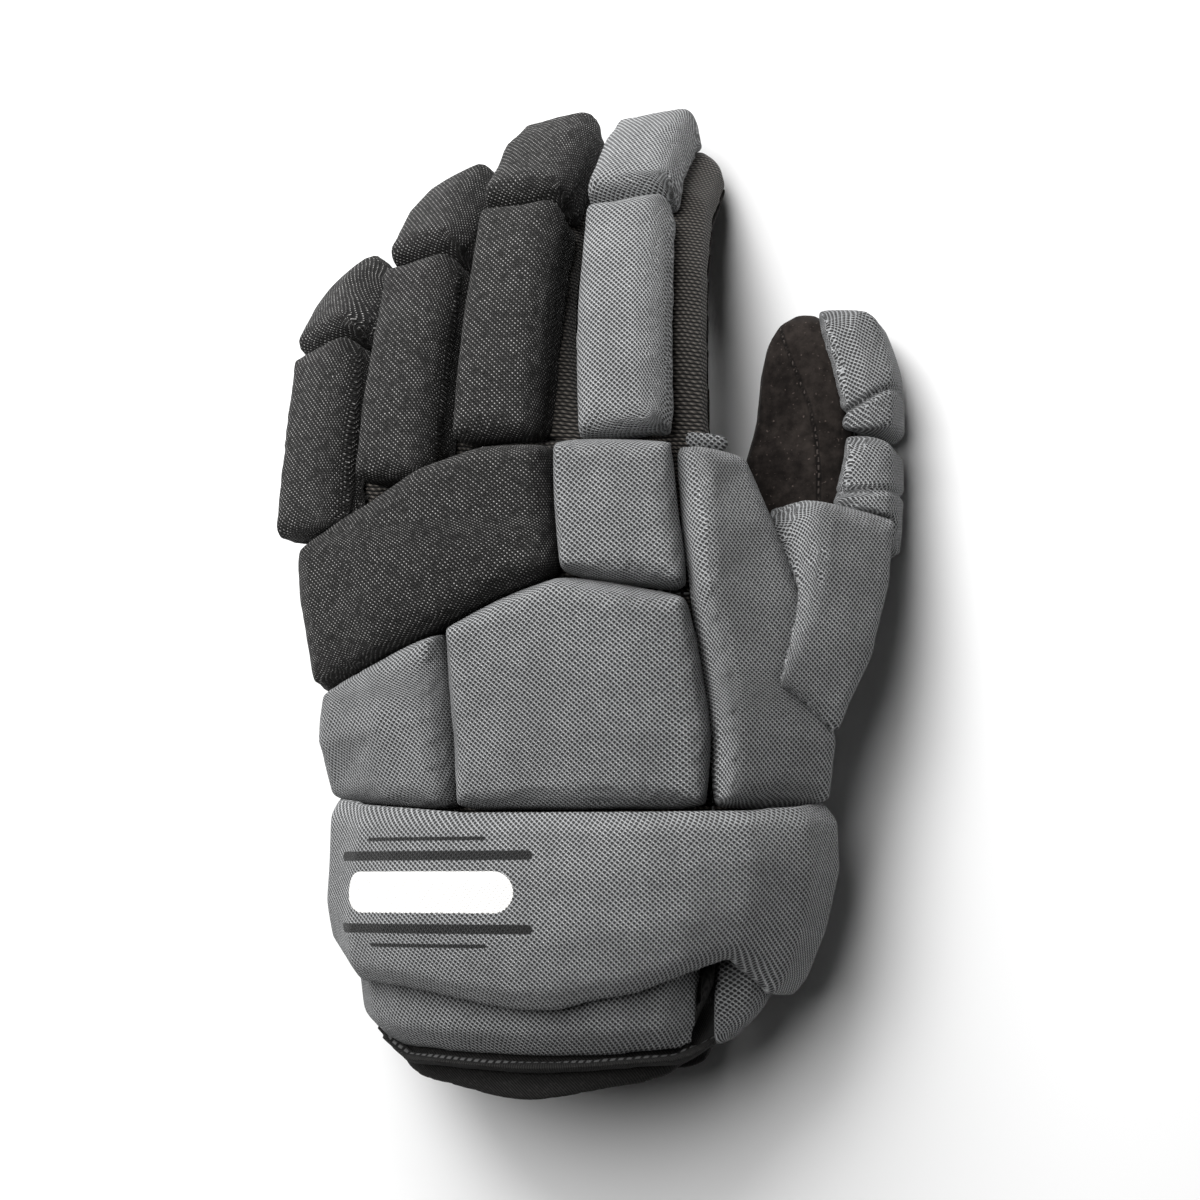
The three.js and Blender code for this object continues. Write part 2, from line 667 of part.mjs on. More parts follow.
const COLOURS = {
  grey_mesh: { color: 0x77787a, roughness: 0.85 },
  black_mesh: { color: 0x3f3c3b, roughness: 0.85 },
  black_knit: { color: 0x2e2a29, roughness: 0.9 },
  suede: { color: 0x2b2522, roughness: 0.95 },
  black_binding: { color: 0x262322, roughness: 0.9 },
};
const materials = Object.fromEntries(Object.entries(COLOURS).map(([name, look]) => (
  [name, new THREE.MeshStandardMaterial({ name, metalness: 0, ...look })]
)));

const glove = new THREE.Group();
const placed = []; // what later pieces are cut clear of

function add(name, solid, material) {
  const mesh = new THREE.Mesh(toGeometry(largest(solid)), materials[material]);
  mesh.name = name;
  glove.add(mesh);
}

// Adds a piece cut clear of the shell and of every earlier piece, each grown by the gap
function addClear(name, build, material) {
  const solid = placed.reduce((rest, other) => rest.subtract(other), build(0));
  add(name, solid, material);
  placed.push(build(0).add(build(GAP)));
}

const sleeves = Object.fromEntries(FINGERS.map((row) => [row.name, fingerSleeve(row)]));
sleeves.thumb = thumbSleeve();
const names = Object.keys(sleeves);

// Shell: back and palm of the hand, then each finger's suede front and knit sides
function buildShell() {
  const bore = handSolid(-SHELL_WALL, SHELL_WALL);
  const fingerBores = names.map((name) => sleeves[name].solid(-SHELL_WALL, -SHELL_WALL));
  const hand = fingerBores.reduce((rest, hole) => rest.subtract(hole), handSolid(0).subtract(bore));
  const palm = palmRegion(-GAP / 2);
  add('palm', hand.intersect(palm), 'suede');
  add('hand_backing', hand.subtract(palmRegion(GAP / 2)), 'black_knit');
  placed.push(handSolid(GAP, CUFF_DROP + GAP));
  names.forEach((name, i) => {
    const sleeve = sleeves[name];
    const bored = sleeve.solid(0).subtract(fingerBores[i]);
    const tube = placed.reduce((rest, other) => rest.subtract(other), bored);
    const level = FRONT_LEVEL[name === 'thumb' ? 'thumb' : 'finger'];
    add(`${name}_front`, tube.intersect(sleeve.palmSide(level, -GAP / 2)), 'suede');
    add(`${name}_gusset`, tube.subtract(sleeve.palmSide(level, GAP / 2)), 'black_knit');
    placed.push(sleeve.solid(GAP));
  });
}

const PALM_SEAM = 0.62; // share of the way round where the palm's suede meets the backing

// All that lies on the palm's side of the seam
function palmRegion(offset) {
  const rings = [];
  for (let i = -1; i <= HAND_STEPS + 1; i += 1) {
    const along = i / HAND_STEPS;
    const left = handPoint(-PALM_SEAM, along, 0);
    const right = handPoint(PALM_SEAM, along, 0);
    const wide = HAND_WIDTH;
    rings.push([
      new THREE.Vector3(left.x - wide, left.y, left.z + offset),
      new THREE.Vector3(left.x, left.y, left.z + offset),
      new THREE.Vector3(right.x, right.y, right.z + offset),
      new THREE.Vector3(right.x + wide, right.y, right.z + offset),
      new THREE.Vector3(right.x + wide, right.y, -wide),
      new THREE.Vector3(left.x - wide, left.y, -wide),
    ]);
  }
  return loft(rings);
}

function buildPads() {
  HAND_PADS.forEach((pad) => {
    const colour = pad.name === 'knuckle_pad' ? 'black_mesh' : 'grey_mesh';
    addClear(pad.name, (grow) => handPad(pad, grow), colour);
  });
  FINGERS.forEach(({ name, girth, slide }) => {
    const sleeve = sleeves[name];
    const start = sleeve.length * PAD_START;
    const run = sleeve.length - start;
    const colour = name === 'index' ? 'grey_mesh' : 'black_mesh';
    FINGER_PADS.forEach((row) => addClear(`${name}_${row.name}`, (grow) => sleevePad(sleeve, {
      width: row.width * FINGER_PAD_WIDTH * girth,
      tipWidth: row.tipWidth * FINGER_PAD_WIDTH * girth,
      from: start + row.from * run,
      to: start + row.to * run,
      slide: slide * FINGER_PAD_WIDTH,
      slope: row.slope,
      height: FINGER_PAD_HEIGHT,
    }, grow), colour));
  });
  THUMB_PADS.forEach((row) => addClear(row.name, (grow) => sleevePad(sleeves.thumb, {
    width: row.width * THUMB_PAD_WIDTH,
    tipWidth: row.tipWidth * THUMB_PAD_WIDTH,
    from: row.from * sleeves.thumb.length,
    to: row.to * sleeves.thumb.length,
    height: THUMB_PAD_HEIGHT,
    foot: row.foot,
    slope: row.slope,
    turn: row.turn,
  }, grow), 'grey_mesh'));
}

function buildCuff() {
  add('cuff_lining', cuffLining(), 'black_binding');
  addClear('cuff_roll', (grow) => wrap(wraps.cuff_roll, grow), 'grey_mesh');
  addClear('cuff_side_roll', (grow) => wrap(wraps.cuff_side_roll, grow), 'grey_mesh');
  addClear('cuff_binding', cuffBinding, 'black_binding');
  addClear('wrist_band', (grow) => wrap(wraps.wrist_band, grow), 'grey_mesh');
}

buildShell();
buildCuff();
buildPads();

// The origin is on the ground under the middle of the glove
const bounds = new THREE.Box3().setFromObject(glove);
const centre = bounds.getCenter(new THREE.Vector3());
glove.position.set(-centre.x, -centre.y, -bounds.min.z);

export default glove;
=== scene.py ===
import math
import bmesh
import bpy
import numpy as np
from mathutils import Matrix, Vector, noise


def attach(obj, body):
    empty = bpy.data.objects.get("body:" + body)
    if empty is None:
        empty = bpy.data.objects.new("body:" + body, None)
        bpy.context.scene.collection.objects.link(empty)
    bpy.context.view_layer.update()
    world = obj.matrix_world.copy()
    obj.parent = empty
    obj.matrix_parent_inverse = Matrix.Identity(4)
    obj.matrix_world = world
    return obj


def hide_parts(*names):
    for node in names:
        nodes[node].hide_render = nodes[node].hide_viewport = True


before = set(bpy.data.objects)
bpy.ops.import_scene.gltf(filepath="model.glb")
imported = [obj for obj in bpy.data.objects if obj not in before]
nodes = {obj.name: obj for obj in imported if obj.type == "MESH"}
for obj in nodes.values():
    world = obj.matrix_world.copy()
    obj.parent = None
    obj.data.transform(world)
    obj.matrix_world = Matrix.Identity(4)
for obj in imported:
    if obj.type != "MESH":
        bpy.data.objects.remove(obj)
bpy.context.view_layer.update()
scene = bpy.context.scene
print("frame loaded:", len(nodes), "solids")

fingers = ["index", "middle", "ring", "pinky"]

# Camera, light and floor

photoView = {
    "lens": 85,
    "sensor": 36,
    "eye": (0.29081, -0.09576, 0.905),
    "aim": (0.00981, -0.00576, 0.05),
    "up": (0, 1, 0),
}


def turnTowards(eye, aim, up):
    back = (Vector(eye) - Vector(aim)).normalized()
    right = Vector(up).cross(back).normalized()
    turn = Matrix((right, back.cross(right), back)).transposed().to_4x4()
    return Matrix.Translation(eye) @ turn


cameraData = bpy.data.cameras.new("photo_camera")
cameraData.lens = photoView["lens"]
cameraData.sensor_width = photoView["sensor"]
cameraData.clip_start = 0.01
camera = bpy.data.objects.new("photo_camera", cameraData)
camera.matrix_world = turnTowards(photoView["eye"], photoView["aim"], photoView["up"])
scene.collection.objects.link(camera)
scene.camera = camera

studio = {
    "key": {"eye": (-0.3, 1.05, 0.9), "size": 1.1, "power": 26},
    "top": {"eye": (-0.3, 0.4, 1.45), "size": 1.3, "power": 22},
    "world": 0.04,
    "floor": (0.82, 0.82, 0.82, 1),
    "floorSize": 4,
    "aim": (0, 0, 0.04),
}


def addLight(name, spec):
    data = bpy.data.lights.new(name, "AREA")
    data.shape = "DISK"
    data.size = spec["size"]
    data.energy = spec["power"]
    light = bpy.data.objects.new(name, data)
    light.matrix_world = turnTowards(spec["eye"], studio["aim"], (1, 0, 0))
    scene.collection.objects.link(light)


addLight("key_light", studio["key"])
addLight("top_light", studio["top"])
world = bpy.data.worlds.new("studio")
world.use_nodes = True
world.node_tree.nodes["Background"].inputs["Color"].default_value = (1, 1, 1, 1)
world.node_tree.nodes["Background"].inputs["Strength"].default_value = studio["world"]
scene.world = world
scene.view_settings.view_transform = "Standard"


# Material recipes


class Signal:
    # one socket of a material, which takes part in sums like a number
    def __init__(self, recipe, socket):
        self.recipe = recipe
        self.socket = socket

    def maths(self, operation, *others):
        inputs = dict(enumerate((self,) + others))
        return self.recipe.node("ShaderNodeMath", {"operation": operation}, inputs)

    def swapped(self, operation, other):
        return self.recipe.node("ShaderNodeMath", {"operation": operation}, {0: other, 1: self})

    def __add__(self, other):
        return self.maths("ADD", other)

    def __radd__(self, other):
        return self.swapped("ADD", other)

    def __sub__(self, other):
        return self.maths("SUBTRACT", other)

    def __rsub__(self, other):
        return self.swapped("SUBTRACT", other)

    def __mul__(self, other):
        return self.maths("MULTIPLY", other)

    def __rmul__(self, other):
        return self.swapped("MULTIPLY", other)

    def __truediv__(self, other):
        return self.maths("DIVIDE", other)

    def __abs__(self):
        return self.maths("ABSOLUTE")

    def lower(self, other):
        return self.maths("MINIMUM", other)

    def higher(self, other):
        return self.maths("MAXIMUM", other)

    def sine(self):
        return self.maths("SINE")

    def step(self, low, high):
        # 0 below low, 1 above high, smooth between; low may be over high
        return self.recipe.node(
            "ShaderNodeMapRange",
            {"interpolation_type": "SMOOTHSTEP"},
            {"Value": self, "From Min": low, "From Max": high},
        )


class Recipe:
    # a material with a Principled shader, built up from expressions
    def __init__(self, name, **constants):
        self.material = bpy.data.materials.new(name)
        self.material.use_nodes = True
        self.tree = self.material.node_tree
        self.shader = self.tree.nodes["Principled BSDF"]
        for socket, value in constants.items():
            self.shader.inputs[socket.replace("_", " ")].default_value = value

    def node(self, kind, settings, inputs, output=0):
        made = self.tree.nodes.new(kind)
        for name, value in settings.items():
            setattr(made, name, value)
        for name, value in inputs.items():
            self.feed(made.inputs[name], value)
        return Signal(self, made.outputs[output])

    def feed(self, socket, value):
        if isinstance(value, Signal):
            self.tree.links.new(value.socket, socket)
        else:
            socket.default_value = value

    def mixed(self, share, first, second):
        inputs = {"Factor": share, 6: first, 7: second}
        return self.node("ShaderNodeMix", {"data_type": "RGBA"}, inputs, 2)

    def noise(self, place, scale, detail=2, rough=0.5):
        inputs = {"Vector": place, "Scale": scale, "Detail": detail, "Roughness": rough}
        return self.node("ShaderNodeTexNoise", {}, inputs, "Fac")

    def place(self):
        return self.node("ShaderNodeTexCoord", {}, {}, "Object")

    def weave(self, turn=0, pitch=1):
        # the piece's own unfolded cloth in metres, turned and counted in pitches
        flat = self.node("ShaderNodeUVMap", {"uv_map": "weave"}, {})
        inputs = {"Vector": flat, "Rotation": (0, 0, math.radians(turn)), "Scale": (1 / pitch,) * 3}
        return self.node("ShaderNodeMapping", {"vector_type": "POINT"}, inputs)

    def parts(self, vector):
        split = self.node("ShaderNodeSeparateXYZ", {}, {"Vector": vector})
        outputs = split.socket.node.outputs
        return Signal(self, outputs["X"]), Signal(self, outputs["Y"])

    def finish(self, colour, rough=None, height=None, depth=0.001, strength=1):
        self.feed(self.shader.inputs["Base Color"], colour)
        if rough is not None:
            self.feed(self.shader.inputs["Roughness"], rough)
        if height is not None:
            inputs = {"Height": height, "Distance": depth, "Strength": strength}
            bump = self.node("ShaderNodeBump", {}, inputs)
            self.feed(self.shader.inputs["Normal"], bump)
        return self.material


def grey(level, warmth=0.0):
    # a linear grey, a little redder with warmth and bluer below 0
    return (level * (1 + warmth), level, level * (1 - warmth), 1)


def lattice(x, y, shift=(0, 0), lean=0.0):
    # distance to the nearest point of two interleaved square grids, drawn out along one diagonal by lean
    nearest = None
    for grid in (0.0, 0.5):
        across = (x + grid + shift[0]).maths("FRACT") - 0.5
        along = (y + grid + shift[1]).maths("FRACT") - 0.5
        rising = across + along
        falling = across - along
        far = rising * rising * (0.5 + lean) + falling * falling * (0.5 - lean)
        nearest = far if nearest is None else nearest.lower(far)
    return nearest.maths("SQRT")


# lengths in metres, and noise scales per metre
spacerMesh = {
    "pitch": 0.0017,
    "turn": -6,
    "holes": (0.35, 0.2),
    # glints: painted highlights, bright yarn points set beside each hole
    "glints": {"shift": (0.28, 0.22), "lean": -0.3, "size": (0.24, 0.06)},
    "noise": {"jitter": 700, "lit": 420, "grain": 1500, "clouds": 60},
    "jitter": 0.1,
    "grey": {
        "sheen": 0.08,
        "yarn": grey(0.4, -0.02),
        "strand": grey(0.15, -0.01),
        "hole": grey(0.012),
        # speck and shine: colour and strength of the painted highlights on the yarn
        "speck": grey(0.85),
        "shine": 0.8,
    },
    "dark": {
        "sheen": 0.02,
        "yarn": grey(0.024, 0.05),
        "strand": grey(0.006, 0.05),
        "hole": grey(0.002),
        # speck and shine: colour and strength of the painted highlights on the yarn
        "speck": grey(0.64, 0.02),
        "shine": 0.9,
    },
}


def meshColour(recipe, tone):
    x, y = recipe.parts(recipe.weave(spacerMesh["turn"], spacerMesh["pitch"]))
    place = recipe.place()
    scales = spacerMesh["noise"]
    glint = spacerMesh["glints"]
    jitter = recipe.noise(place, scales["jitter"], 1)
    x = x + (jitter - 0.5) * spacerMesh["jitter"]
    holes = lattice(x, y).step(*spacerMesh["holes"])
    # painted highlights: a second grid of bright points beside the holes, shown where the noise lit is high
    glints = lattice(x, y, glint["shift"], glint["lean"]).step(*glint["size"])
    lit = recipe.noise(place, scales["lit"], 2, 0.7).step(0.3, 0.66)
    strands = ((x - y) * math.tau).sine() * 0.5 + 0.5
    grain = recipe.noise(place, scales["grain"], 2, 0.7)
    cloudy = recipe.noise(place, scales["clouds"], 3)
    cloth = recipe.mixed(strands.step(0.1, 0.9) * 0.25 + grain * 0.45, tone["yarn"], tone["strand"])
    cloth = recipe.mixed(glints * lit * tone["shine"], cloth, tone["speck"])
    cloth = recipe.mixed(holes * 0.95, cloth, tone["hole"])
    shade = recipe.mixed(1, cloth, recipe.mixed(cloudy.step(0.3, 0.7), grey(0.9), grey(1.08)))
    shade.socket.node.blend_type = "MULTIPLY"
    height = glints * 0.4 + strands * 0.2 + grain * 0.15 - holes
    return shade, height


def meshMaterial(name, tone):
    recipe = Recipe(
        name, Roughness=0.8, Sheen_Weight=tone["sheen"], Sheen_Roughness=0.5, Specular_IOR_Level=0.25
    )
    colour, height = meshColour(recipe, tone)
    return recipe.finish(colour, height=height, depth=0.0005, strength=0.9)


# the band's print: a white bar with round ends between pairs of black lines, in mm around the
# wrist and along it
bandPrint = {
    "white": {"middle": (-29, -98.5), "half": (31, 6.4)},
    "lines": [
        {"middle": (-29, -82), "half": (22, 0.6)},
        {"middle": (-29, -87.2), "half": (37, 1.5)},
        {"middle": (-29, -109.8), "half": (37, 1.5)},
        {"middle": (-29, -115), "half": (22, 0.6)},
    ],
    "edge": 0.18,
    "fray": 900,
    "whitePaint": (0.86, 0.85, 0.83, 1),
    "blackInk": grey(0.07),
}


def roundBar(x, y, spec, edge):
    middle, half = spec["middle"], spec["half"]
    across = (abs(x - middle[0]) - (half[0] - half[1])).higher(0)
    along = y - middle[1]
    far = (across * across + along * along).maths("SQRT")
    return far.step(half[1] + edge, half[1] - edge)


def printedMesh(name):
    recipe = Recipe(name, Roughness=0.8, Sheen_Weight=0.1, Sheen_Roughness=0.5, Specular_IOR_Level=0.3)
    colour, height = meshColour(recipe, spacerMesh["grey"])
    x, y = recipe.parts(recipe.weave(pitch=0.001))
    frayed = bandPrint["edge"] * (0.5 + recipe.noise(recipe.place(), bandPrint["fray"], 2) * 1.5)
    white = roundBar(x, y, bandPrint["white"], frayed)
    black = None
    for line in bandPrint["lines"]:
        bar = roundBar(x, y, line, frayed)
        black = bar if black is None else black.higher(bar)
    inked = recipe.mixed(1, colour, bandPrint["blackInk"])
    inked.socket.node.blend_type = "MULTIPLY"
    colour = recipe.mixed(black, colour, inked)
    colour = recipe.mixed(white, colour, bandPrint["whitePaint"])
    return recipe.finish(colour, height=height * (1 - white * 0.8), depth=0.0005, strength=0.9)


seamMake = {
    # in metres: half widths of the groove, its bed and the thread, a stitch with its gap, and a
    # distance that stands for no seam; duty is the stitch's share of its pitch and soft its fade
    "groove": 0.0011,
    "bed": 0.0002,
    "thread": 0.00032,
    "pitch": 0.0026,
    "duty": 0.62,
    "soft": 0.06,
    "far": 1.0,
}


def seamed(recipe, colour, height, thread):
    # the groove, darkened with painted shade, and the stitches of the piece's own seam map: distance from the
    # seam, length along it
    flat = recipe.node("ShaderNodeUVMap", {"uv_map": "seam"}, {})
    away, run = recipe.parts(flat)
    groove = away.step(seamMake["groove"], seamMake["bed"])
    beat = abs((run / seamMake["pitch"]).maths("FRACT") - 0.5)
    half, soft = seamMake["duty"] / 2, seamMake["soft"]
    stitch = away.step(seamMake["thread"] * 1.5, seamMake["thread"] * 0.6)
    stitch = stitch * beat.step(half + soft, half - soft)
    # painted shade: the groove is darkened towards near black
    colour = recipe.mixed(groove * 0.75, colour, grey(0.002))
    colour = recipe.mixed(stitch, colour, thread)
    return colour, height - groove * 2 + stitch * 1.5


ribbedKnit = {
    "yarn": grey(0.07, 0.12),
    "gap": grey(0.003),
    "speck": grey(0.2, 0.1),
    "thread": grey(0.3),
    "pitch": 0.0013,
    "waver": 130,
}


def ribbedMaterial(name, sewn=False):
    recipe = Recipe(name, Roughness=0.9, Sheen_Weight=0.1, Specular_IOR_Level=0.2)
    x, y = recipe.parts(recipe.weave(0, ribbedKnit["pitch"]))
    place = recipe.place()
    waver = recipe.noise(place, ribbedKnit["waver"], 1)
    rib = ((y + waver * 0.8) * math.tau).sine() * 0.5 + 0.5
    stitch = ((x * 0.8 + y * 0.5) * math.tau).sine() * 0.5 + 0.5
    shade = rib.step(0.15, 0.75)
    colour = recipe.mixed(shade, ribbedKnit["gap"], ribbedKnit["yarn"])
    colour = recipe.mixed(stitch.step(0.45, 0) * shade * 0.7, colour, ribbedKnit["gap"])
    colour = recipe.mixed(stitch.step(0.7, 1) * shade * 0.6, colour, ribbedKnit["speck"])
    height = rib * 0.7 + stitch * 0.3
    if sewn:
        colour, height = seamed(recipe, colour, height, ribbedKnit["thread"])
    return recipe.finish(colour, height=height, depth=0.00035, strength=0.8)


suedeNap = {
    "dark": (0.0062, 0.005, 0.0045, 1),
    "pale": (0.027, 0.022, 0.0195, 1),
    "speck": (0.12, 0.095, 0.085, 1),
    "thread": (0.05, 0.042, 0.038, 1),
    "noise": {"nap": 260, "fibre": 1500, "patches": 45, "specks": 900},
}


def suedeMaterial(name, sewn=False):
    recipe = Recipe(name, Roughness=0.95, Sheen_Weight=0.06, Sheen_Roughness=0.4, Specular_IOR_Level=0.08)
    place = recipe.place()
    scales = suedeNap["noise"]
    nap = recipe.noise(place, scales["nap"], 5, 0.65)
    fibre = recipe.noise(place, scales["fibre"], 2, 0.6)
    patches = recipe.noise(place, scales["patches"], 3)
    colour = recipe.mixed((nap * 0.7 + patches * 0.5).step(0.42, 0.85), suedeNap["dark"], suedeNap["pale"])
    specks = recipe.noise(place, scales["specks"], 1, 0.5).step(0.68, 0.78)
    colour = recipe.mixed(specks * 0.5, colour, suedeNap["speck"])
    height = nap * 0.6 + fibre * 0.4
    if sewn:
        colour, height = seamed(recipe, colour, height, suedeNap["thread"])
    return recipe.finish(colour, height=height, depth=0.0003, strength=0.6)


liningCloth = {
    "thread": grey(0.026, 0.04),
    "gap": grey(0.007),
    "fluff": grey(0.06, 0.03),
    "stitch": grey(0.09),
    "pitch": 0.0011,
    "grain": 1100,
}


def twillMaterial(name, turn=0, sewn=False):
    recipe = Recipe(name, Roughness=0.9, Sheen_Weight=0.02, Specular_IOR_Level=0.12)
    x, y = recipe.parts(recipe.weave(turn, liningCloth["pitch"]))
    place = recipe.place()
    slant = ((x + y) * math.tau).sine() * 0.5 + 0.5
    floats = ((x - y * 2) * math.tau).sine() * 0.5 + 0.5
    grain = recipe.noise(place, liningCloth["grain"], 2)
    thread = slant.step(0.2, 0.8) * (0.6 + floats * 0.4)
    colour = recipe.mixed(thread, liningCloth["gap"], liningCloth["thread"])
    colour = recipe.mixed(grain.step(0.5, 0.8) * 0.35, colour, liningCloth["fluff"])
    height = slant * 0.6 + grain * 0.3
    if sewn:
        colour, height = seamed(recipe, colour, height, liningCloth["stitch"])
    return recipe.finish(colour, height=height, depth=0.0003, strength=0.7)


greyMesh = meshMaterial("grey_spacer_mesh", spacerMesh["grey"])
darkMesh = meshMaterial("black_spacer_mesh", spacerMesh["dark"])
printedBand = printedMesh("printed_spacer_mesh")
ribbedCloth = ribbedMaterial("black_ribbed_knit")
sewnRibbedCloth = ribbedMaterial("sewn_black_ribbed_knit", sewn=True)
blackSuede = suedeMaterial("black_suede")
sewnSuede = suedeMaterial("sewn_black_suede", sewn=True)
liningTwill = twillMaterial("black_lining")
bindingTwill = twillMaterial("black_binding", turn=35, sewn=True)
sewnCloths = {blackSuede.name: sewnSuede, ribbedCloth.name: sewnRibbedCloth}
print("cloths and leather mixed")


# Shaping tools


def newPiece(name, mesh):
    piece = bpy.data.objects.new(name, mesh)
    scene.collection.objects.link(piece)
    return piece


def keepResult(piece):
    # the modifiers' result becomes the mesh
    graph = bpy.context.evaluated_depsgraph_get()
    result = bpy.data.meshes.new_from_object(piece.evaluated_get(graph), depsgraph=graph)
    piece.modifiers.clear()
    piece.data = result


def evenCopy(nodeName, voxel):
    # a CAD solid's surface as an even net of small squares, its corners merged first
    mesh = nodes[nodeName].data.copy()
    mesh.materials.clear()
    shape = bmesh.new()
    shape.from_mesh(mesh)
    bmesh.ops.remove_doubles(shape, verts=shape.verts, dist=0.00002)
    shape.to_mesh(mesh)
    shape.free()
    piece = newPiece(nodeName + "_cover", mesh)
    net = piece.modifiers.new("net", "REMESH")
    net.mode = "VOXEL"
    net.voxel_size = voxel
    keepResult(piece)
    return piece


def softened(piece, rounds):
    shape = bmesh.new()
    shape.from_mesh(piece.data)
    for _ in range(rounds):
        bmesh.ops.smooth_vert(
            shape, verts=shape.verts, factor=0.5, use_axis_x=True, use_axis_y=True, use_axis_z=True
        )
    shape.to_mesh(piece.data)
    shape.free()


def places(piece):
    flat = np.empty(len(piece.data.vertices) * 3)
    piece.data.vertices.foreach_get("co", flat)
    return flat.reshape(-1, 3)


def vertexNormals(piece):
    flat = np.empty(len(piece.data.vertices) * 3)
    piece.data.vertex_normals.foreach_get("vector", flat)
    return flat.reshape(-1, 3)


def putPlaces(piece, points):
    piece.data.vertices.foreach_set("co", points.reshape(-1))
    piece.data.update()


def stuffed(pads, cloth):
    # all the pads swell together under pressure, and none moves further than its cap
    starts = {pad.name: places(pad) for pad in pads}
    for pad in pads:
        skin = pad.modifiers.new("stuffing", "CLOTH")
        skin.settings.quality = cloth["quality"]
        skin.settings.mass = cloth["mass"]
        skin.settings.use_pressure = True
        skin.settings.uniform_pressure_force = cloth["pressure"]
        skin.settings.effector_weights.gravity = 0
        skin.point_cache.frame_start = 1
        skin.point_cache.frame_end = cloth["frames"]
    for moment in range(1, cloth["frames"] + 1):
        scene.frame_set(moment)
    for pad in pads:
        keepResult(pad)
    scene.frame_set(1)
    for pad in pads:
        moved = places(pad) - starts[pad.name]
        far = np.linalg.norm(moved, axis=1, keepdims=True)
        print("  ", pad.name, "swells", round(float(far.max()) * 1000, 2), "mm")
        putPlaces(pad, starts[pad.name] + moved * np.minimum(1, cloth["cap"] / np.maximum(far, 1e-9)))


def blockFrame(piece, heading, outward):
    # a pad's own directions: across, along towards its heading in degrees from +Y, and out
    points = places(piece)
    middle = points.mean(axis=0)
    _, ways = np.linalg.eigh(np.cov((points - middle).T))
    out = Vector(ways[:, 0])
    if out.dot(Vector(outward)) < 0:
        out.negate()
    turn = math.radians(heading)
    along = Vector((-math.sin(turn), math.cos(turn), 0))
    along = (along - out * along.dot(out)).normalized()
    across = along.cross(out)
    return middle, np.array(across), np.array(along), np.array(out)


def flatPlaces(points, normals, frameOf):
    middle, across, along, out = frameOf
    ways = np.array([across, along, out]).T
    return (points - middle) @ ways, normals @ ways


handAxis = (-0.008, 0.03)  # x and z of a line along Y through the hand
# steps over which places are averaged: an angle, and metres
steps = {
    "arc": math.radians(3),
    "hand": 0.004,
    "finger": 0.006,
    "crest": 0.002,
    "hem": 0.002,
    "edge": 0.003,
}


def extremes(position, values, step, pick):
    # the lowest or highest value at every step of a position, where there is one
    low = position.min()
    slots = ((position - low) / step).astype(int)
    found = np.full(slots.max() + 1, np.inf if pick is np.minimum else -np.inf)
    pick.at(found, slots, values)
    known = np.isfinite(found)
    return (low + (np.arange(len(found)) + 0.5) * step)[known], found[known]


def meanAlong(position, height, step):
    # the mean height at every step of a position, filled in where there is none
    low = position.min()
    count = max(2, int((position.max() - low) / step) + 2)
    slots = np.clip(((position - low) / step).astype(int), 0, count - 1)
    total = np.bincount(slots, height, count)
    number = np.bincount(slots, minlength=count)
    filled = number > 0
    where = low + (np.arange(count) + 0.5) * step
    level = np.interp(where, where[filled], total[filled] / number[filled])
    return where, level


def roundPlaces(points, normals):
    # across, along and out of a cover, unrolled around the hand's line with its true lengths
    x = points[:, 0] - handAxis[0]
    z = points[:, 2] - handAxis[1]
    reach = np.hypot(x, z)
    angle = np.arctan2(x, z)
    cosine, sine = np.cos(angle), np.sin(angle)
    radial = normals[:, 0] * sine + normals[:, 2] * cosine
    outer = radial > 0.3 if (radial > 0.3).any() else radial > -2
    turns, radii = meanAlong(angle[outer], reach[outer], steps["arc"])
    arcs = np.cumsum(np.hypot(radii, np.gradient(radii, turns))) * steps["arc"]
    arcs = arcs - np.interp(0, turns, arcs)
    across = np.interp(angle, turns, arcs)
    spots, levels = meanAlong(points[outer, 1], points[outer, 2], steps["hand"])
    runs = np.cumsum(np.hypot(1, np.gradient(levels, spots))) * steps["hand"]
    along = np.interp(points[:, 1], spots, runs - np.interp(0, spots, runs))
    tangent = normals[:, 0] * cosine - normals[:, 2] * sine
    return np.stack([across, along, reach], axis=1), np.stack([tangent, normals[:, 1], radial], axis=1)


def tubePlaces(points, normals):
    # the same around a finger: its axis goes through its mean place at every step along Y
    spots, middles = meanAlong(points[:, 1], points[:, 0], steps["finger"])
    _, heights = meanAlong(points[:, 1], points[:, 2], steps["finger"])
    x = points[:, 0] - np.interp(points[:, 1], spots, middles)
    z = points[:, 2] - np.interp(points[:, 1], spots, heights)
    angle = np.arctan2(x, z)
    radius = float(np.hypot(x, z).mean())
    runs = np.cumsum(np.hypot(1, np.gradient(heights, spots))) * steps["finger"]
    flat = [angle * radius, np.interp(points[:, 1], spots, runs), np.hypot(x, z)]
    return np.stack(flat, axis=1), normals


# how far up a face of the top looks, the span that scales the fit, how far below a broad pad's top
# and a finger block's crest a side starts, the share of a pad's half width where its sides reach
# full drop, and how far up a seam's face looks
weaveFit = {
    "facing": 0.85,
    "span": 0.05,
    "slack": 0.0004,
    "crestSlack": 0.0015,
    "turnShare": 0.3,
    "seamFacing": 0.1,
}


def fallFromTop(spots, facing):
    # how far each place lies below a broad pad's smooth top, and its length along the pad
    across, along, out = spots.T
    top = facing[:, 2] > weaveFit["facing"]
    p, q = across / weaveFit["span"], along / weaveFit["span"]
    basis = np.stack([p**i * q**j for i in range(5) for j in range(3)], axis=1)
    fit, *_ = np.linalg.lstsq(basis[top], out[top], rcond=None)
    return np.maximum(0, basis @ fit - out - weaveFit["slack"]), along


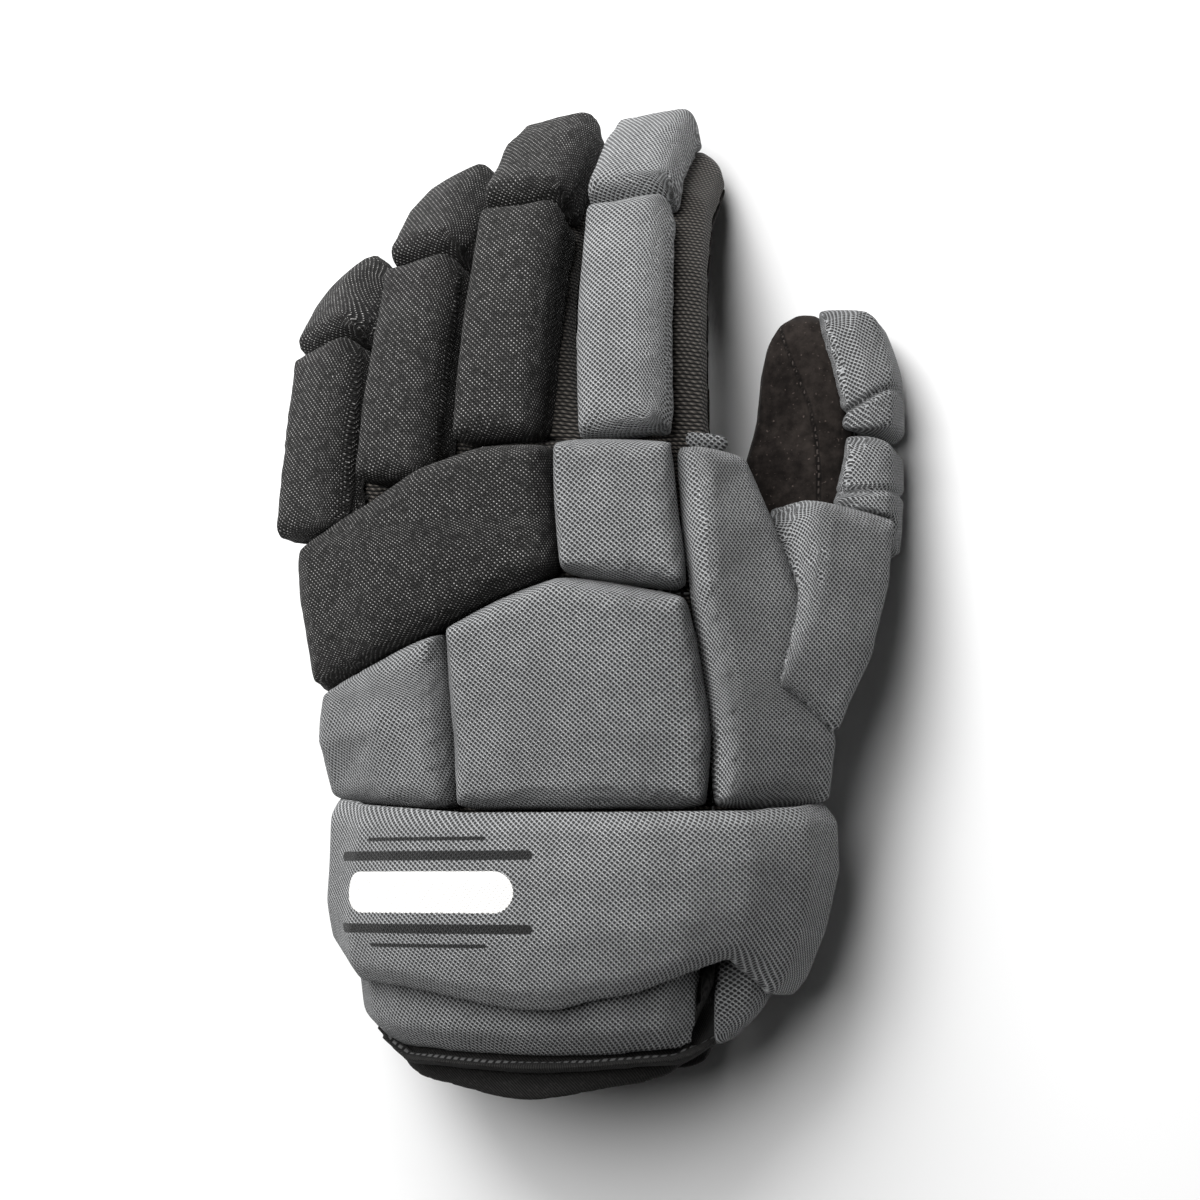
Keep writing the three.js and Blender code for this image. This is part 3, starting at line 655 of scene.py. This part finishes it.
def fallFromCrest(spots, facing):
    # the same for a finger block, whose top follows its crest
    _, along, out = spots.T
    where, crest = extremes(along, out, steps["crest"], np.maximum)
    runs = np.cumsum(np.hypot(1, np.gradient(crest, where))) * steps["crest"]
    drop = np.maximum(0, np.interp(along, where, crest) - out - weaveFit["crestSlack"])
    return drop * np.clip(1 - facing[:, 2] ** 2, 0, 1), np.interp(along, where, runs)


def layWeave(piece, unroll, fall=None):
    # cloth coordinates in metres, where a block's sides carry on from its top
    mesh = piece.data
    spots, facing = unroll(places(piece), vertexNormals(piece))
    flat = spots[:, :2].copy()
    if fall is not None:
        drop, flat[:, 1] = fall(spots, facing)
        sides = facing[:, 0] ** 2
        ends = facing[:, 1] ** 2
        share = sides / np.maximum(sides + ends, 1e-6)
        for k, weight in ((0, share), (1, 1 - share)):
            centre = (flat[:, k].max() + flat[:, k].min()) / 2
            half = flat[:, k].max() - centre
            side = np.clip((flat[:, k] - centre) / (weaveFit["turnShare"] * half), -1, 1)
            flat[:, k] += side * drop * weight
    putMap(mesh, "weave", flat)


def putMap(mesh, name, flat):
    corners = np.empty(len(mesh.loops), dtype=np.int32)
    mesh.loops.foreach_get("vertex_index", corners)
    layer = mesh.uv_layers.new(name=name)
    layer.data.foreach_set("uv", flat[corners].reshape(-1))


def abovePlaces(points, normals):
    return points.copy(), normals


def bandPlaces(points, normals):
    # around like the rest, and straight along Y
    spots, facing = roundPlaces(points, normals)
    spots[:, 1] = points[:, 1]
    return spots, facing


def alongPath(points, path):
    # distance of each point from a path seen from above, and the length run along it there
    corners = np.array([corner[:2] for corner in path]) / 1000
    nearest = np.full(len(points), seamMake["far"])
    run = np.zeros(len(points))
    start = 0.0
    for first, last in zip(corners, corners[1:]):
        step = last - first
        length = float(np.hypot(*step))
        share = np.clip(((points[:, :2] - first) @ step) / length**2, 0, 1)
        away = np.hypot(*(points[:, :2] - first - share[:, None] * step).T)
        closer = away < nearest
        nearest[closer] = away[closer]
        run[closer] = start + share[closer] * length
        start += length
    return nearest, run


def laySeam(piece, path):
    # the seam map, on what faces up
    away, run = alongPath(places(piece), path)
    away[vertexNormals(piece)[:, 2] < weaveFit["seamFacing"]] = seamMake["far"]
    putMap(piece.data, "seam", np.stack([away, run], axis=1))


def creased(piece, path, width, depth):
    # a sewn or folded line pulls the surface in
    points = places(piece)
    away, _ = alongPath(points, path)
    dip = np.clip(1 - away / width, 0, 1) ** 2 * depth
    putPlaces(piece, points - vertexNormals(piece) * dip[:, None])


edgeMake = {"hemDegree": 6, "hemReach": 0.016, "topReach": 0.012, "topFade": 0.01}


def hemEvened(piece):
    # the lowest edge along Y follows one smooth curve across the piece
    points = places(piece)
    spots, low = extremes(points[:, 0], points[:, 1], steps["hem"], np.minimum)
    curve = np.polyfit(spots, low, edgeMake["hemDegree"])
    hem = np.interp(points[:, 0], spots, low)
    share = np.clip(1 - (points[:, 1] - hem) / edgeMake["hemReach"], 0, 1)
    points[:, 1] += (np.polyval(curve, points[:, 0]) - hem) * share
    putPlaces(piece, points)


def bowed(piece, rows):
    # raises a piece along Y by mm that change across
    points = places(piece)
    spots, rises = np.array(rows).T / 1000
    points[:, 1] += np.interp(points[:, 0], spots, rises)
    putPlaces(piece, points)


def topRaised(piece, rows):
    # raises the edge furthest along +Y, by mm that change across
    points = places(piece)
    spots, rises = np.array(rows).T / 1000
    share = np.clip((points[:, 1] - points[:, 1].max() + edgeMake["topReach"]) / edgeMake["topFade"], 0, 1)
    points[:, 1] += np.interp(points[:, 0], spots, rises) * share
    putPlaces(piece, points)


def edgeMoved(piece, rows):
    # moves the left and right edges of a piece by shifts in mm that change along Y, and lifts the left one
    points = places(piece)
    heights, lefts, rights, lifts = np.array(rows).T / 1000
    y = points[:, 1]
    left = np.interp(y, *extremes(y, points[:, 0], steps["edge"], np.minimum))
    right = np.interp(y, *extremes(y, points[:, 0], steps["edge"], np.maximum))
    share = np.clip((points[:, 0] - left) / np.maximum(right - left, 0.001), 0, 1)
    points[:, 0] += np.interp(y, heights, lefts) * (1 - share) + np.interp(y, heights, rights) * share
    points[:, 2] += np.interp(y, heights, lifts) * (1 - share)
    putPlaces(piece, points)


# y, shift of the left edge, shift of the right edge, lift of the left edge, all in mm
edgeRows = {
    "index_gusset": [(30, -11, 0, 0), (45, -9, 0, 0), (56, -6, 0, 0), (66, -3, 0, 0), (80, 0, 0, 0)],
    "cuff_binding": [(-156, 0, -7, 0), (-142, 0, -6, 0), (-130, 0, 0, 0)],
    "cuff_lining": [(-163, 3, -9, 0), (-140, 0, -7, 0), (-128, 0, 0, 0)],
    "middle_gusset": [(30, 0, 9, 0), (45, 0, 8, 0), (60, 0, 5, 0), (75, 0, 2, 0), (90, 0, 0, 0)],
    "thumb_front": [
        (20, 0, 0, 0),
        (28, -1, 4, 0),
        (40, -2, 6.5, 0),
        (54, 0, 6.5, 0),
        (69, 0, 6, 0),
        (81, 1.5, 3.5, 0),
        (88, 3.5, 2, 0),
    ],
    "thumb_tip_pad": [(46, 9, 0, 1.4), (54, 9, 0, 1.4), (69, 5.5, 0, 1.4), (81, 1, 0, 1.4), (88, -1, 0, 1.4)],
    "thumb_mid_pad": [(8, 0, 0, 0), (28, 2.5, 0, 1), (40, 5, 0, 1.4), (46, 5, 0, 1.4)],
}
# x and rise in mm of the cuff's ends
bowRows = {
    "cuff_binding": [(-72, 8), (-64, 5), (-52, 0), (36, 0), (47, 3), (57, 6)],
    "cuff_lining": [(-66, 7), (-50, -1), (-20, -2), (10, -2), (26, 0), (40, 5), (51, 9)],
}
# x and rise in mm of the band's upper edge
bandRise = [(-95, 4), (-60, 3.5), (-25, 0)]
# places of the seams and folds in mm
seamRows = {
    # the channels between the pads, darkened with painted shade: round the first knuckle pad, then down both
    # sides of the middle one
    "hand_backing": [
        (2, 41.3),
        (4.5, -0.5),
        (24, -4.1),
        (45.5, -6.7),
        (48.2, -39.4),
        (49.3, -71.9),
        (49.3, -200),
        (-34.2, -200),
        (-34.2, -71.3),
        (-34.4, -17.6),
        (-60.8, -24.8),
        (-84, -32),
    ],
    "thumb_front": [
        (61.5, 87),
        (62.8, 84.1),
        (67.8, 72.1),
        (73.7, 57.4),
        (76.1, 47.3),
        (77.4, 35),
        (77.4, 26.1),
    ],
    "cuff_binding": [
        (-66, -146.5),
        (-57.8, -148.9),
        (-17.8, -151.2),
        (14.6, -150.6),
        (40.9, -148.5),
        (52, -146),
    ],
}
foldRows = {
    # name: path, half width and depth of the fold in metres
    "thumb_tip_pad": ([(84, 53), (87.2, 54.3), (101, 62)], 0.0022, 0.0016),
    "thumb_mid_pad": ([(84, 27.6), (87.4, 27.8), (101, 28.4)], 0.0024, 0.0016),
}


def smoothShaded(piece):
    piece.data.polygons.foreach_set("use_smooth", np.ones(len(piece.data.polygons), dtype=bool))
    piece.data.update()


def finishPiece(piece, material, slotName, *replaced):
    piece.data.materials.clear()
    piece.data.materials.append(material)
    smoothShaded(piece)
    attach(piece, "root")
    if replaced:
        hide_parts(*replaced)


# Foam pads

padRows = {
    # name: heading in degrees from +Y, outward direction, cloth
    "index_mid_pad": (2, (0, 0, 1), "grey"),
    "index_tip_pad": (2, (0, 0, 1), "grey"),
    "middle_mid_pad": (-2, (0, 0, 1), "dark"),
    "middle_tip_pad": (-2, (0, 0, 1), "dark"),
    "ring_mid_pad": (2, (0, 0, 1), "dark"),
    "ring_tip_pad": (2, (0, 0, 1), "dark"),
    "pinky_mid_pad": (4, (0, 0, 1), "dark"),
    "pinky_tip_pad": (4, (0, 0, 1), "dark"),
    "thumb_base_pad": (0, (1, 0, 0.5), "grey"),
    "thumb_mid_pad": (0, (1, 0, 0.3), "grey"),
    "thumb_tip_pad": (0, (1, 0, 0.3), "grey"),
    "center_hand_pad": (None, None, "grey"),
    "outer_hand_pad": (None, None, "grey"),
    "inner_hand_pad": (None, None, "grey"),
    "index_knuckle_pad": (None, None, "grey"),
    "knuckle_pad": (None, None, "dark"),
}
padMake = {
    "voxel": 0.0013,
    "smoothing": 2,
    "fill": 0.75,
    "cloth": {"quality": 4, "mass": 0.02, "pressure": 35, "frames": 6, "cap": 0.0007},
    # depth, width and height of the small folds, a pad's mean radius, and depth and scale of the dents
    "pucker": 0.0007,
    "puckerPitch": 0.0045,
    "puckerRise": 0.007,
    "girth": 0.03,
    "dents": 0.0004,
    "dentScale": 55,
}


def unrollOf(piece, row):
    if row[0] is None:
        return roundPlaces
    frameOf = blockFrame(piece, row[0], row[1])
    return lambda points, normals: flatPlaces(points, normals, frameOf)


def puckered(pad, unroll, make):
    # small folds that start at the seam under a pad and die out up its sides
    points = places(pad)
    normals = vertexNormals(pad)
    spots, _ = unroll(points, normals)
    base = np.percentile(spots[:, 2], 2)
    middle = spots[:, :2].mean(axis=0)
    moved = points.copy()
    for i, (spot, normal) in enumerate(zip(spots, normals)):
        around = math.atan2(spot[1] - middle[1], spot[0] - middle[0]) * make["girth"]
        rise = (spot[2] - base) / make["puckerRise"]
        fade = max(0.0, 1 - rise) ** 1.5
        fold = noise.noise((around / make["puckerPitch"], rise * 0.6, len(pad.name)))
        broad = noise.noise(Vector(points[i]) * make["dentScale"])
        moved[i] += normal * (fold * fade * make["pucker"] + broad * make["dents"])
    putPlaces(pad, moved)


pads = {}
for name in padRows:
    pads[name] = evenCopy(name, padMake["voxel"])
    softened(pads[name], padMake["smoothing"])
print("pads netted")
stuffed(list(pads.values()), padMake["cloth"])
print("pads stuffed")
for name, pad in pads.items():
    row = padRows[name]
    fine = pad.modifiers.new("fine", "SUBSURF")
    fine.levels = 1
    fine.render_levels = 1
    keepResult(pad)
    puckered(pad, unrollOf(pad, row), padMake)
    if name in edgeRows:
        edgeMoved(pad, edgeRows[name])
    if name in foldRows:
        creased(pad, *foldRows[name])
    layWeave(pad, unrollOf(pad, row), fallFromTop if row[0] is None else fallFromCrest)
    dark = row[2] == "dark"
    finishPiece(pad, darkMesh if dark else greyMesh, "black_mesh" if dark else "grey_mesh", name)
print("pads covered")

# Suede, knit sides and backing

shellMake = {"voxel": 0.001, "smoothing": 6}
shellRows = {"palm": (blackSuede, "suede"), "hand_backing": (ribbedCloth, "black_knit")}
for digit in fingers + ["thumb"]:
    shellRows[digit + "_front"] = (blackSuede, "suede")
    shellRows[digit + "_gusset"] = (ribbedCloth, "black_knit")
tubeNames = set(shellRows) - {"palm", "hand_backing"}
for name, (material, slotName) in shellRows.items():
    panel = evenCopy(name, shellMake["voxel"])
    softened(panel, shellMake["smoothing"])
    if name in edgeRows:
        edgeMoved(panel, edgeRows[name])
    if name in seamRows:
        laySeam(panel, seamRows[name])
        material = sewnCloths[material.name]
    layWeave(panel, tubePlaces if name in tubeNames else roundPlaces)
    finishPiece(panel, material, slotName, name)
print("shell sewn")

# Cuff

# around the wrist and along the arm, in metres; its rim is curved
cuffRows = {
    # name: voxel, smoothing, material, slot, fill of a padded piece
    "cuff_lining": (0.0012, 36, liningTwill, "black_binding", None),
    "cuff_binding": (0.0009, 16, bindingTwill, "black_binding", None),
    "cuff_roll": (0.0015, 5, greyMesh, "grey_mesh", 0.7),
    "cuff_side_roll": (0.0013, 5, greyMesh, "grey_mesh", 0.7),
    "wrist_band": (0.0013, 4, printedBand, "grey_mesh", 0.5),
}
for name, (voxel, rounds, material, slotName, fill) in cuffRows.items():
    piece = evenCopy(name, voxel)
    softened(piece, rounds)
    if name in seamRows:
        laySeam(piece, seamRows[name])
    if name in edgeRows:
        edgeMoved(piece, edgeRows[name])
    if name == "wrist_band":
        topRaised(piece, bandRise)
    if name in bowRows:
        bowed(piece, bowRows[name])
    if name == "cuff_lining":
        hemEvened(piece)
    layWeave(piece, tubePlaces if name == "cuff_side_roll" else bandPlaces)
    finishPiece(piece, material, slotName, name)
print("cuff closed")

# short stitched strips over the ends of the knit sides beside the index pad: places in mm, half
# width and height in metres
stripRows = {
    "index_outer_strip": (
        [(41, 42, 66.5), (45, 41.8, 67.3), (49, 41.6, 66), (52.5, 41.2, 62.5), (54.5, 40.8, 58)],
        0.0023,
        0.0011,
    ),
    "index_inner_strip": ([(-6, 46.4, 62.5), (-1, 46, 63.8), (4, 45.6, 63.8), (9, 45.4, 62)], 0.0021, 0.0011),
}
stripSides = 16


def sweptStrip(name, path, half, height):
    # flat rings along a path, bridged and closed at both ends
    centres = np.array(path) / 1000
    shape = bmesh.new()
    for i, centre in enumerate(centres):
        ahead = centres[min(i + 1, len(centres) - 1)] - centres[max(i - 1, 0)]
        along = Vector(ahead).normalized()
        wide = Vector((0, 0, 1)).cross(along).normalized()
        up = along.cross(wide)
        ring = Matrix((wide * half, up * height, along)).transposed().to_4x4()
        place = Matrix.Translation(centre) @ ring
        bmesh.ops.create_circle(shape, segments=stripSides, radius=1, matrix=place)
    bmesh.ops.bridge_loops(shape, edges=shape.edges)
    bmesh.ops.holes_fill(shape, edges=shape.edges)
    bmesh.ops.recalc_face_normals(shape, faces=shape.faces)
    mesh = bpy.data.meshes.new(name)
    shape.to_mesh(mesh)
    shape.free()
    piece = newPiece(name, mesh)
    fine = piece.modifiers.new("fine", "SUBSURF")
    fine.levels = 2
    fine.render_levels = 2
    keepResult(piece)
    layWeave(piece, abovePlaces)
    return piece


for name, row in stripRows.items():
    finishPiece(sweptStrip(name, *row), greyMesh, "grey_mesh")
print("strips sewn")

# Floor

sheet = bmesh.new()
bmesh.ops.create_grid(sheet, x_segments=2, y_segments=2, size=studio["floorSize"] / 2)
floorMesh = bpy.data.meshes.new("studio_floor")
sheet.to_mesh(floorMesh)
sheet.free()
floor = newPiece("studio_floor", floorMesh)
paint = Recipe("studio_paper", Roughness=0.95, Specular_IOR_Level=0.1)
floorMesh.materials.append(paint.finish(studio["floor"]))
